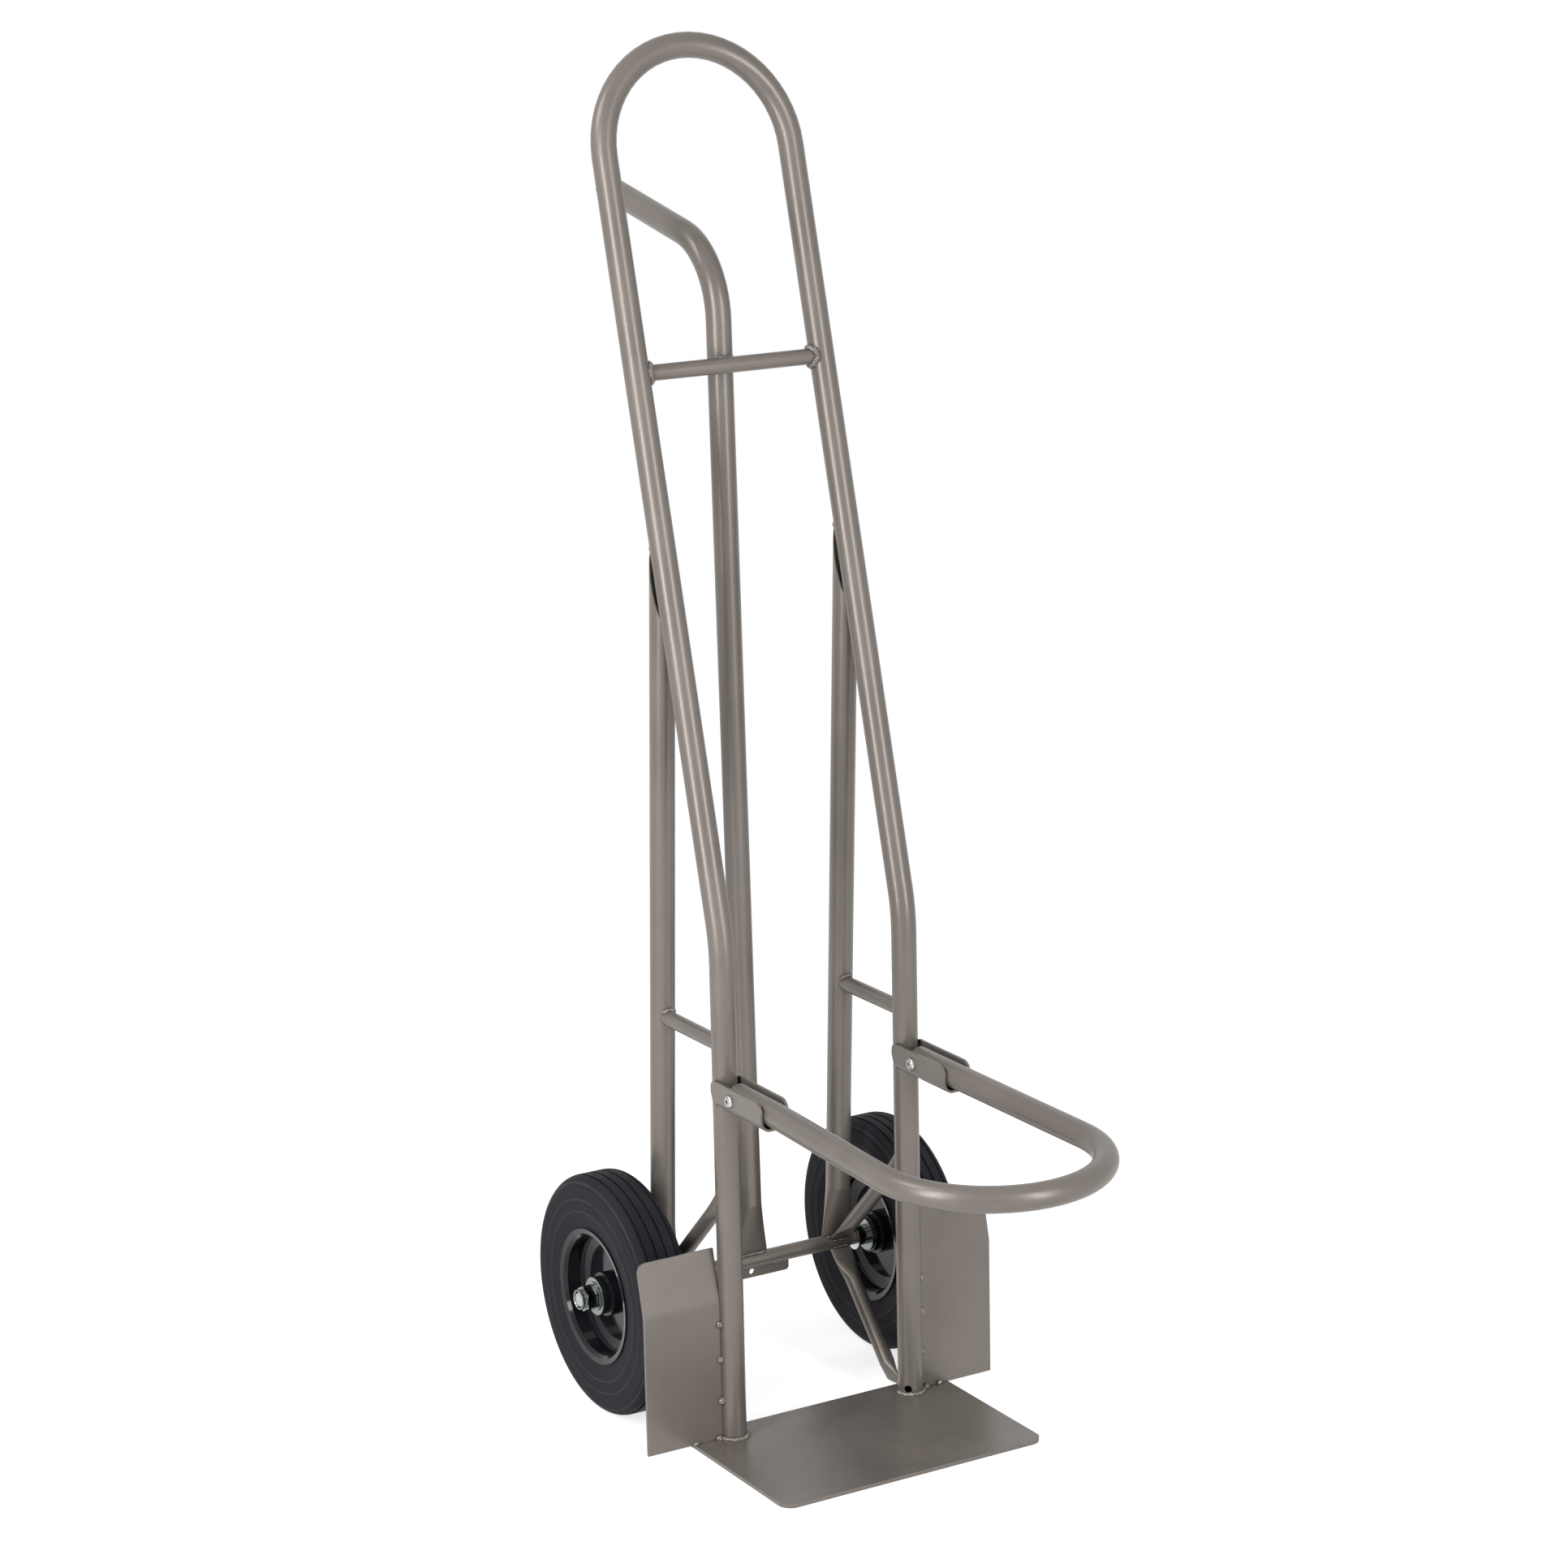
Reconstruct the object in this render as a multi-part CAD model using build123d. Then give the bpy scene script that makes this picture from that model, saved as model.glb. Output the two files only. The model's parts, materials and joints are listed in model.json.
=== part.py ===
from build123d import *

import os
from math import acos, atan2, cos, hypot, radians, sin, tan

# Chair stack dolly: an upright two-wheeled truck that slides its toe plate under a stack of
# chairs. A bent tube hoop, a centre spine that becomes the handle, two rear uprights and short
# struts are welded on an axle rod. A tube fork folds up between two channel brackets.
#
# Millimetres. +X is to the right, -Y is the toe plate's side and +Z is up. The toe plate and the
# wheels stand on Z = 0. While it is built, Y = 0 is the plane of the upright rails' axes, and at
# the end everything is moved along Y so that the origin lies under the middle of the whole part.

# Tubes and shared clearances
frame_od = 25.4
frame_wall = 1.65
brace_od = 15.9
brace_wall = 1.5
weld_bite = 0.6
body_gap = 0.3
running_gap = 0.05
loose_gap = 0.2
overrun = 2.0

# Toe plate. Every side reach is measured from a rail's axis
toe_side_reach = 45.5
toe_front = 177.4
toe_rear = 22.6
toe_thickness = 4.0
toe_corner_radius = 14.0

# Main hoop: two rails that lean back above a bend and meet in a round loop
rail_spacing = 209.0
hoop_bend_height = 515.5
hoop_lean = 14.25
hoop_bend_radius = 180.0
hoop_lean_length = 873.2
foot_hole_dia = 8.0
foot_hole_rise = 6.0
foot_hole_turn = 43.0

# Cross bar, measured along the leaning rails from their bend
cross_bar_reach = 558.0

# Wheels and axle
wheel_dia = 248.0
wheel_side_reach = 55.4
axle_setback = 140.0
axle_dia = 15.9
axle_end_chamfer = 1.2

# Tube ends crushed flat where they are welded on the axle rod, and at a rail's foot
frame_flat_width = 38.0
frame_flat_thickness = 7.0
frame_flat_run = 10.0
frame_flat_taper = 52.0
brace_flat_width = 24.0
brace_flat_thickness = 4.4
brace_flat_run = 21.0
brace_flat_taper = 24.0

# Spine and handle, one tube
handle_corner_height = 1164.7
handle_rise = 12.0
handle_length = 226.0
handle_bend_radius = 85.0
plug_rim = 2.5
plug_rim_round = 1.0
plug_stem = 16.0

# Rear uprights lean towards the rails, and braces tie them to the rails
upright_lean = 3.2
mid_brace_height = 412.0
upper_strut_height = 260.0
lower_strut_offset = 7.4

# Tab under the axle rod
tab_width = 88.0
tab_drop = 10.5
tab_thickness = 3.0
tab_corner_radius = 4.0
tab_hole_dia = 6.5
tab_hole_rise = 6.2

# Wing plates beside the rails
wing_side_reach = 98.0
wing_thickness = 3.0
wing_front = 0.5
wing_bend_height = 148.0
wing_top_length = 55.3
wing_lean = 13.0
wing_bend_radius = 30.0
wing_corner_radius = 10.0

# Fork and its channel brackets
fork_pivot_height = 368.0
fork_pivot_offset = 36.0
fork_reach = 426.6
fork_widening = 6.0
fork_bend_radius = 150.0
fork_dip = 0.8
fork_tail = 10.0
bracket_clearance = 0.4
bracket_thickness = 2.6
bracket_length = 97.5
bracket_rise = 12.4
bracket_rear = 1.5
bracket_rear_slant = 7.0
bracket_front_round = 12.0
bracket_rear_round = 7.0
bracket_web_radius = 7.0
bracket_web_length = 48.0
fork_bolt_dia = 6.35
fork_bolt_head_dia = 12.7
fork_bolt_head_height = 3.6
fork_bolt_head_round = 2.9
fork_bolt_socket = 4.0
fork_bolt_socket_depth = 2.0
fork_bolt_tip = 1.5
fork_nut_across = 11.1
fork_nut_height = 5.6

# Tyre, a solid rubber ring
tyre_width = 53.4
tyre_bead_radius = 63.5
tyre_shoulder_radius = 13.0
tyre_ridge_radii = (87.5, 100.0)
tyre_ridge_height = 0.8
tyre_ridge_width = 3.0
tread_groove_width = 2.5
tread_groove_depth = 2.2
tread_groove_places = (5.5, 16.5)

# Rim, two pressed halves back to back
rim_sheet = 2.0
rim_dish_radius = 50.0
rim_dish_depth = 5.0
rim_ledge = 21.2
rim_curl_radius = 65.6
rim_curl_depth = 2.2
rim_lip_radius = 69.9
rim_lip_depth = 3.2

# Hub barrel, measured from the wheel's centre plane
hub_radius = 22.5
hub_neck_radius = 19.5
hub_outer_end = 21.7
hub_inner_end = 19.1
hub_outer_shoulder = 14.0
hub_inner_shoulder = 12.0
hub_bore_radius = 11.5
bushing_length = 15.0

# Washers, spacer and nut along the axle rod
stop_washer_dia = 27.0
stop_washer_thickness = 2.0
spacer_dia = 21.0
cup_washer_dia = 34.0
cup_washer_thickness = 2.5
hub_washer_dia = 39.0
hub_washer_thickness = 2.0
nut_washer_dia = 30.0
nut_washer_thickness = 1.6
axle_nut_across = 23.8
axle_nut_hex_height = 12.5
axle_nut_collar_dia = 21.0
axle_nut_collar_height = 5.0
axle_end_inset = 1.0

# Places worked out from the sizes above
frame_radius = frame_od / 2
brace_radius = brace_od / 2
axle_radius = axle_dia / 2
wheel_radius = wheel_dia / 2
rail_x = rail_spacing / 2
wheel_x = rail_x + wheel_side_reach
wing_outer = rail_x + wing_side_reach
toe_width = rail_spacing + 2 * toe_side_reach
fork_loop_radius = rail_x + fork_widening
axle_height = wheel_radius
lean = radians(hoop_lean)
lean_up = Vector(0, sin(lean), cos(lean))
lean_back = Vector(0, cos(lean), -sin(lean))
bend_point = Vector(0, 0, hoop_bend_height)
cross_bar_centre = bend_point + lean_up * cross_bar_reach
axle_centre = Vector(0, axle_setback, axle_height)
across = Vector(1, 0, 0)
frame_flat = (frame_flat_width, frame_flat_thickness, frame_flat_run, frame_flat_taper)
frame_flat_length = frame_flat_run + frame_flat_taper
brace_flat = (brace_flat_width, brace_flat_thickness, brace_flat_run, brace_flat_taper)


def at_x(point, x):
    """The same point moved to another X."""
    return Vector(x, point.Y, point.Z)


def bar(start, end, diameter):
    """A solid round bar between two points."""
    run = end - start
    return extrude(Plane(origin=start, z_dir=run) * Circle(diameter / 2), amount=run.length)


def straight_tube(start, end, diameter, wall):
    """A straight round tube between two points."""
    return bar(start, end, diameter) - bar(start, end, diameter - 2 * wall)


def bent_tube(path, diameter, wall):
    """A round tube swept along a path of tangent lines and arcs."""
    start = Plane(origin=path @ 0, z_dir=path % 0)
    skin = sweep(start * Circle(diameter / 2), path=path)
    return skin - sweep(start * Circle(diameter / 2 - wall), path=path)


def crushed_end(tip, run, wide, diameter, wall, flat):
    """A stretch of tube that is crushed flat at its tip and then opens to its full round section.

    tip is the flat end, run the direction away from it and wide the direction in which the tip is
    spread. flat holds the tip's width and thickness, the flat length and the length of the taper."""
    return crushed_space(tip, run, wide, diameter, flat, 0) - crushed_space(
        tip, run, wide, diameter, flat, wall
    )


def crushed_space(tip, run, wide, diameter, flat, inset):
    """The space inside a crushed end's skin, which lies inset from its outside."""
    width, thickness, flat_run, taper = flat
    tip_plane = Plane(origin=tip, x_dir=wide, z_dir=run)
    taper_plane = tip_plane.offset(flat_run)
    round_plane = tip_plane.offset(flat_run + taper)
    section = Ellipse(width / 2 - inset, thickness / 2 - inset)
    opening = loft([taper_plane * section, round_plane * Circle(diameter / 2 - inset)], ruled=True)
    return extrude(tip_plane * section, amount=flat_run) + opening


def strut(start, end, end_wide):
    """A brace tube with its start spread along X and its end spread along end_wide."""
    run = (end - start).normalized()
    length = brace_flat_run + brace_flat_taper
    tube = straight_tube(start + run * length, end - run * length, brace_od, brace_wall)
    foot = crushed_end(start, run, across, brace_od, brace_wall, brace_flat)
    head = crushed_end(end, run * -1, end_wide, brace_od, brace_wall, brace_flat)
    return foot + tube + head


def turned(points, plane=Plane.XZ):
    """A ring turned about the X axis from an outline in X and radius."""
    return revolve(make_face(plane * Polyline(*points, close=True)), axis=Axis.X)


def washer(start, thickness, diameter):
    """A washer on the axle's own line, from start to start + thickness along X."""
    bore = axle_radius + loose_gap
    outline = [(start, bore), (start, diameter / 2)]
    outline += [(start + thickness, diameter / 2), (start + thickness, bore)]
    return turned(outline)


def hoop_path():
    """Left foot, bend, leaning rail, loop, and down again on the right."""
    trim = hoop_bend_radius * tan(lean / 2)
    foot = Vector(0, 0, toe_thickness)
    bend_start = bend_point - Vector(0, 0, trim)
    bend_end = bend_point + lean_up * trim
    loop_start = bend_point + lean_up * (hoop_lean_length - rail_x)
    loop_top = bend_point + lean_up * hoop_lean_length
    left, right = -rail_x, rail_x
    return Wire(
        [
            Line(at_x(foot, left), at_x(bend_start, left)),
            TangentArc(at_x(bend_start, left), at_x(bend_end, left), tangent=(0, 0, 1)),
            Line(at_x(bend_end, left), at_x(loop_start, left)),
            ThreePointArc(at_x(loop_start, left), loop_top, at_x(loop_start, right)),
            Line(at_x(loop_start, right), at_x(bend_end, right)),
            TangentArc(at_x(bend_end, right), at_x(bend_start, right), tangent=lean_up * -1),
            Line(at_x(bend_start, right), at_x(foot, right)),
        ]
    )


def rail_bar(x):
    """The space that one rail fills, for coping what is welded to it."""
    foot = Vector(x, 0, 0)
    bend = at_x(bend_point, x)
    top = bend + lean_up * hoop_lean_length
    return bar(foot, bend, frame_od) + bar(bend, top, frame_od) + Pos(bend) * Sphere(frame_radius)


def main_hoop():
    hoop = bent_tube(hoop_path(), frame_od, frame_wall)
    hole_height = toe_thickness + foot_hole_rise
    turn = radians(foot_hole_turn)
    hole_start = Vector(rail_x, 0, hole_height)
    hole_end = hole_start + Vector(-sin(turn), -cos(turn), 0) * frame_od
    return hoop - bar(hole_start, hole_end, foot_hole_dia)


def cross_bar():
    bar_start = at_x(cross_bar_centre, -rail_x)
    bar_end = at_x(cross_bar_centre, rail_x)
    tube = straight_tube(bar_start, bar_end, brace_od, brace_wall)
    return tube - rail_bar(-rail_x) - rail_bar(rail_x)


# The spine touches the cross bar from behind, and leans between there and the axle rod
spine_offset = frame_radius + brace_radius
spine_lean = atan2(
    cross_bar_centre.Y + spine_offset - axle_setback,
    cross_bar_centre.Z - axle_height,
)
spine_up = Vector(0, sin(spine_lean), cos(spine_lean))
handle_turn = radians(90 - handle_rise) - spine_lean
handle_back = Vector(0, cos(radians(handle_rise)), sin(radians(handle_rise)))
handle_corner = axle_centre + spine_up * ((handle_corner_height - axle_height) / cos(spine_lean))
handle_end = handle_corner + handle_back * handle_length


def spine_handle():
    trim = handle_bend_radius * tan(handle_turn / 2)
    foot = crushed_end(axle_centre, spine_up, across, frame_od, frame_wall, frame_flat)
    bend_start = handle_corner - spine_up * trim
    bend_end = handle_corner + handle_back * trim
    path = Wire(
        [
            Line(axle_centre + spine_up * frame_flat_length, bend_start),
            TangentArc(bend_start, bend_end, tangent=spine_up),
            Line(bend_end, handle_end),
        ]
    )
    return foot + bent_tube(path, frame_od, frame_wall) - axle_bar()


def handle_end_plug():
    mouth = Plane(origin=handle_end, z_dir=handle_back)
    stem_radius = frame_radius - frame_wall - loose_gap
    rim = extrude(mouth * Circle(frame_radius), amount=plug_rim)
    rim = fillet(rim.edges().sort_by(Axis.Y)[-1], plug_rim_round)
    return rim + extrude(mouth * Circle(stem_radius), amount=-plug_stem)


def axle_bar():
    """The space that the axle rod fills."""
    reach = Vector(nut_end, 0, 0)
    return bar(axle_centre - reach, axle_centre + reach, axle_dia)


def upright(x):
    """The foot of a rear upright on the axle rod's own axis, and the way it leans."""
    up = Vector(0, -sin(radians(upright_lean)), cos(radians(upright_lean)))
    foot = at_x(axle_centre, x)
    return foot, up


def rear_upright(x):
    foot, up = upright(x)
    top = foot + up * upright_length
    tube = straight_tube(foot + up * frame_flat_length, top, frame_od, frame_wall)
    tube += crushed_end(foot, up, across, frame_od, frame_wall, frame_flat)
    cut_face = at_x(bend_point, x) + lean_back * (frame_radius - weld_bite)
    cut_plane = Plane(origin=cut_face, x_dir=across, z_dir=lean_back * -1)
    size = hoop_lean_length
    ahead = extrude(cut_plane * Rectangle(2 * size, 2 * size), amount=size)
    return tube - ahead - rail_bar(x) - axle_bar()


def upright_bar(x):
    """The space that a rear upright fills, with its flat foot."""
    foot, up = upright(x)
    crushed = crushed_space(foot, up, across, frame_od, frame_flat, 0)
    return crushed + bar(foot + up * frame_flat_length, foot + up * upright_length, frame_od)


def mid_brace(x):
    foot, up = upright(x)
    rise = mid_brace_height - axle_height
    rear = foot + up * (rise / cos(radians(upright_lean)))
    front = Vector(x, 0, mid_brace_height)
    return straight_tube(front, rear, brace_od, brace_wall) - rail_bar(x) - upright_bar(x)


def upper_strut(x):
    start = at_x(axle_centre, x)
    end = Vector(x, 0, upper_strut_height)
    side = (end - start).normalized().cross(across)
    return strut(start, end, side) - rail_bar(x) - upright_bar(x) - axle_bar()


def lower_strut(x):
    """From the axle rod down to the toe plate's rear edge, cut level with the plate's top."""
    start = at_x(axle_centre, x)
    foot = Vector(x, toe_rear + lower_strut_offset, toe_thickness)
    run = (foot - start).normalized()
    side = run.cross(across)
    tube = strut(start, foot + run * brace_flat_width, side)
    under = (Align.CENTER, Align.CENTER, Align.MAX)
    below = Pos(foot) * Box(axle_setback, axle_setback, axle_setback, align=under)
    return tube - rail_bar(x) - axle_bar() - below


def toe_plate():
    depth = toe_front + toe_rear
    middle = Pos(0, (toe_rear - toe_front) / 2, toe_thickness / 2)
    plate = middle * Box(toe_width, depth, toe_thickness)
    front_corners = plate.edges().filter_by(Axis.Z).group_by(Axis.Y)[0]
    return fillet(front_corners, toe_corner_radius)


def wing_plate(x):
    """The plate beside the left rail, bent back towards the wheel above its bend line."""
    turn = radians(wing_lean)
    rear = wing_thickness - wing_front
    shift = wing_thickness * tan(turn / 2)
    run_y, run_z = sin(turn) * wing_top_length, cos(turn) * wing_top_length
    bend_front = (-wing_front, wing_bend_height)
    bend_rear = (rear, wing_bend_height - shift)
    top_front = (bend_front[0] + run_y, bend_front[1] + run_z)
    top_rear = (top_front[0] + wing_thickness * cos(turn), top_front[1] - wing_thickness * sin(turn))
    outline = [
        (-wing_front, toe_thickness),
        bend_front,
        top_front,
        top_rear,
        bend_rear,
        (rear, toe_thickness),
    ]
    inner = rail_x + frame_radius - weld_bite
    side = Plane.YZ.offset(-wing_outer) * make_face(Polyline(*outline, close=True))
    plate = extrude(side, amount=wing_outer - inner)
    bends = plate.edges().filter_by(Axis.X).filter_by_position(
        Axis.Z, wing_bend_height - wing_thickness, wing_bend_height + wing_thickness
    )
    plate = fillet(bends, wing_bend_radius)
    corner = plate.faces().sort_by(Axis.Z)[-1].edges().sort_by(Axis.X)[0]
    plate = fillet(corner, wing_corner_radius)
    return plate - rail_bar(x)


def bracket_side():
    """The bracket seen from the side, with Y along the first axis and Z along the second."""
    front = bracket_rear - bracket_length
    low = fork_pivot_height - bracket_outer
    top = fork_pivot_height + bracket_rise
    outline = [
        (front, low),
        (front, top),
        (bracket_rear, top),
        (bracket_rear, fork_pivot_height),
        (bracket_rear - bracket_rear_slant, low),
    ]
    side = make_face(Polyline(*outline, close=True))
    top_corners = side.vertices().group_by(Axis.Y)[-1].sort_by(Axis.X)
    side = fillet(top_corners[0], bracket_front_round)
    top_corner = side.vertices().sort_by(Axis.X)[-2:].sort_by(Axis.Y)[-1]
    return fillet(top_corner, bracket_rear_round)


def fork_bracket(x):
    """A channel that holds a fork arm's end ahead of the rail and stops it when it is level."""
    inner, outer = bracket_inner, bracket_outer
    front = bracket_rear - bracket_length
    # In this plane the second axis points down, so the web is on its positive side
    section = Plane(origin=(x, front, fork_pivot_height), x_dir=(1, 0, 0), z_dir=(0, 1, 0))
    height = bracket_rise + outer
    block = Pos(0, (outer - bracket_rise) / 2) * Rectangle(2 * outer, height)
    block = fillet(block.vertices().group_by(Axis.Y)[-1], bracket_web_radius + bracket_thickness)
    depth = bracket_rise + overrun + inner
    space = Pos(0, inner - depth / 2) * Rectangle(2 * inner, depth)
    space = fillet(space.vertices().group_by(Axis.Y)[-1], bracket_web_radius)
    channel = extrude(section * (block - space), amount=bracket_length)
    channel &= extrude(Plane.YZ.offset(x - outer) * bracket_side(), amount=2 * outer)
    # Behind its web the channel is open below, which leaves room for the arm's end to swing
    past_web = (Align.CENTER, Align.MIN, Align.MAX)
    swing = Box(2 * inner, bracket_length, 2 * outer, align=past_web)
    swing = Pos(x, front + bracket_web_length, fork_pivot_height) * swing
    return channel - swing - rail_bar(x) - fork_bolt_line(x, fork_bolt_dia + loose_gap)


def fork_bolt_line(x, diameter):
    """The space of a bolt across one bracket."""
    half_span = bracket_outer + overrun
    start = Vector(x - half_span, -fork_pivot_offset, fork_pivot_height)
    return bar(start, start + across * (2 * half_span), diameter)


def fork_path():
    """Left arm, a slight turn outwards and down ahead of the bracket, the loop, and back again."""
    trim = fork_bend_radius * tan(fork_splay / 2)
    out = Vector(-sin(fork_splay), -cos(fork_splay) * cos(dip), -cos(fork_splay) * sin(dip))
    tail = Vector(-rail_x, fork_tail - fork_pivot_offset, fork_pivot_height)
    corner = Vector(-rail_x, bracket_rear - bracket_length - trim, fork_pivot_height)
    turn_start = corner + Vector(0, trim, 0)
    turn_end = corner + out * trim
    ahead = Vector(0, -cos(dip), -sin(dip))
    centre = at_x(corner, 0) + ahead * fork_run
    loop_start = centre - at_x(ahead, 0) * (fork_loop_radius * sin(fork_splay))
    loop_start = at_x(loop_start, -fork_loop_radius * cos(fork_splay))
    loop_front = centre + ahead * fork_loop_radius

    def mirrored(point):
        return at_x(point, -point.X)

    return Wire(
        [
            Line(tail, turn_start),
            TangentArc(turn_start, turn_end, tangent=(0, -1, 0)),
            Line(turn_end, loop_start),
            ThreePointArc(loop_start, loop_front, mirrored(loop_start)),
            Line(mirrored(loop_start), mirrored(turn_end)),
            TangentArc(mirrored(turn_end), mirrored(turn_start), tangent=mirrored(out) * -1),
            Line(mirrored(turn_start), mirrored(tail)),
        ]
    )


def fork_loop():
    fork = bent_tube(fork_path(), frame_od, frame_wall)
    for x in (-rail_x, rail_x):
        fork -= fork_bolt_line(x, fork_bolt_dia + 2 * running_gap)
    return fork


def fork_bolt(x):
    """A button-head bolt with a hex socket, its head on the left of its bracket."""
    left = Vector(x - bracket_outer, -fork_pivot_offset, fork_pivot_height)
    length = 2 * bracket_outer + fork_nut_height + fork_bolt_tip
    shank = bar(left, left + across * length, fork_bolt_dia)
    seat = Plane(origin=left, x_dir=(0, 1, 0), z_dir=(-1, 0, 0))
    head = extrude(seat * Circle(fork_bolt_head_dia / 2), amount=fork_bolt_head_height)
    head = fillet(head.edges().sort_by(Axis.X)[0], fork_bolt_head_round)
    hexagon = seat.offset(fork_bolt_head_height) * RegularPolygon(
        fork_bolt_socket / 2, 6, major_radius=False
    )
    return head - extrude(hexagon, amount=-fork_bolt_socket_depth) + shank


def fork_nut(x):
    right = Vector(x + bracket_outer, -fork_pivot_offset, fork_pivot_height)
    seat = Plane(origin=right, x_dir=(0, 1, 0), z_dir=(1, 0, 0))
    hexagon = RegularPolygon(fork_nut_across / 2, 6, major_radius=False)
    return extrude(seat * (hexagon - Circle(fork_bolt_dia / 2 + running_gap)), amount=fork_nut_height)


def axle_tab():
    drop = axle_radius + tab_drop
    under = (Align.CENTER, Align.CENTER, Align.MAX)
    plate = Pos(axle_centre) * Box(tab_width, tab_thickness, drop, align=under)
    low_corners = plate.edges().filter_by(Axis.Y).group_by(Axis.Z)[0]
    plate = fillet(low_corners, tab_corner_radius)
    hole = Vector(0, axle_setback, axle_height - drop + tab_hole_rise)
    reach = Vector(0, tab_thickness, 0)
    return plate - bar(hole - reach, hole + reach, tab_hole_dia) - axle_bar()


def tyre():
    """Half the outline runs from the tread's middle to the bead, and is mirrored."""
    half = tyre_width / 2
    ledge = rim_ledge
    bead_side = [
        (ledge, tyre_bead_radius),
        (ledge + rim_curl_depth, rim_curl_radius),
        (ledge + rim_lip_depth, rim_lip_radius),
    ]
    right = list(bead_side)
    for radius in tyre_ridge_radii:
        right.append((half, radius - tyre_ridge_width / 2))
        right.append((half + tyre_ridge_height, radius))
        right.append((half, radius + tyre_ridge_width / 2))
    shoulder_low = (half, wheel_radius - tyre_shoulder_radius)
    shoulder_high = (half - tyre_shoulder_radius, wheel_radius)
    left = [(-x, radius) for x, radius in reversed(right)]
    reach = tyre_shoulder_radius * sin(radians(45))
    shoulder_mid = (
        half - tyre_shoulder_radius + reach,
        wheel_radius - tyre_shoulder_radius + reach,
    )
    outline = Polyline(*left, *right, shoulder_low)
    outline += ThreePointArc(shoulder_low, shoulder_mid, shoulder_high)
    outline += Line(shoulder_high, (-shoulder_high[0], shoulder_high[1]))
    outline += ThreePointArc(
        (-shoulder_high[0], shoulder_high[1]),
        (-shoulder_mid[0], shoulder_mid[1]),
        (-shoulder_low[0], shoulder_low[1]),
    )
    outline += Line((-shoulder_low[0], shoulder_low[1]), left[0])
    section = make_face(outline)
    for place in tread_groove_places:
        for x in (-place, place):
            section -= Pos(x, wheel_radius) * Rectangle(tread_groove_width, 2 * tread_groove_depth)
    return revolve(Plane.XZ * section, axis=Axis.X)


def rim_half():
    """The outboard half: a web at the wheel's centre plane, a dish, a ledge and a curled lip."""
    ledge_inside = tyre_bead_radius - rim_sheet
    outline = [
        (0, hub_radius),
        (rim_sheet, hub_radius),
        (rim_sheet, rim_dish_radius),
        (rim_sheet + rim_dish_depth, ledge_inside),
        (rim_ledge + rim_sheet / 2, ledge_inside),
        (rim_ledge + rim_curl_depth + rim_sheet, rim_curl_radius - rim_sheet / 2),
        (rim_ledge + rim_lip_depth + rim_sheet, rim_lip_radius),
        (rim_ledge + rim_lip_depth, rim_lip_radius),
        (rim_ledge + rim_curl_depth, rim_curl_radius),
        (rim_ledge, tyre_bead_radius),
        (rim_dish_depth, tyre_bead_radius),
        (0, rim_dish_radius + rim_sheet / 2),
    ]
    return turned(outline)


def hub():
    outline = [
        (-hub_inner_end, hub_bore_radius),
        (-hub_inner_end, hub_neck_radius),
        (-hub_inner_shoulder, hub_neck_radius),
        (-hub_inner_shoulder, hub_radius),
        (hub_outer_shoulder, hub_radius),
        (hub_outer_shoulder, hub_neck_radius),
        (hub_outer_end, hub_neck_radius),
        (hub_outer_end, hub_bore_radius),
    ]
    return turned(outline)


def hub_bushings():
    """Two sleeves pressed in the hub, which run on the axle rod."""
    bore = axle_radius + running_gap
    pair = []
    for start in (-hub_inner_end, hub_outer_end - bushing_length):
        end = start + bushing_length
        pair.append(turned([(start, bore), (start, hub_bore_radius), (end, hub_bore_radius), (end, bore)]))
    return Compound(pair)


def axle_nut(start):
    """A hex nut with a round locking collar, on the axle's own line."""
    seat = Plane(origin=(start, 0, 0), x_dir=(0, 1, 0), z_dir=(1, 0, 0))
    hexagon = RegularPolygon(axle_nut_across / 2, 6, major_radius=False)
    nut = extrude(seat * hexagon, amount=axle_nut_hex_height)
    collar_height = axle_nut_hex_height + axle_nut_collar_height
    nut += extrude(seat * Circle(axle_nut_collar_dia / 2), amount=collar_height)
    return nut - extrude(seat * Circle(axle_radius + running_gap), amount=collar_height)


# The stack along the axle rod on the right-hand side, from the frame outwards
stop_washer_start = rail_x + frame_flat_width / 2
spacer_start = stop_washer_start + stop_washer_thickness
cup_washer_start = wheel_x - hub_inner_end - body_gap - cup_washer_thickness
hub_washer_start = wheel_x + hub_outer_end + body_gap
nut_washer_start = hub_washer_start + hub_washer_thickness
nut_start = nut_washer_start + nut_washer_thickness
nut_end = nut_start + axle_nut_hex_height + axle_nut_collar_height


def axle_rod():
    reach = Vector(nut_end - axle_end_inset, 0, 0)
    rod = bar(axle_centre - reach, axle_centre + reach, axle_dia)
    return chamfer(rod.edges().filter_by(GeomType.CIRCLE), axle_end_chamfer)


# The uprights are made longer than they need and cut off at the rails
upright_length = hoop_lean_length

# The fork's arms turn outwards just enough to run into its wider loop
fork_loop_centre = fork_reach - frame_radius - fork_loop_radius
fork_run = fork_loop_centre - (bracket_length - bracket_rear)
fork_splay = atan2(fork_run, rail_x) - acos(fork_loop_radius / hypot(fork_run, rail_x))
dip = radians(fork_dip)

# The brackets' inside and outside, measured from their own middle
bracket_inner = frame_radius + bracket_clearance
bracket_outer = bracket_inner + bracket_thickness

# The part is centred along Y between the fork's front and the handle's end
handle_rear = handle_end + handle_back * plug_rim
rear_reach = handle_rear.Y + (frame_radius - plug_rim_round) * sin(radians(handle_rise))
centre_shift = Pos(0, (fork_reach - rear_reach) / 2, 0)


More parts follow.
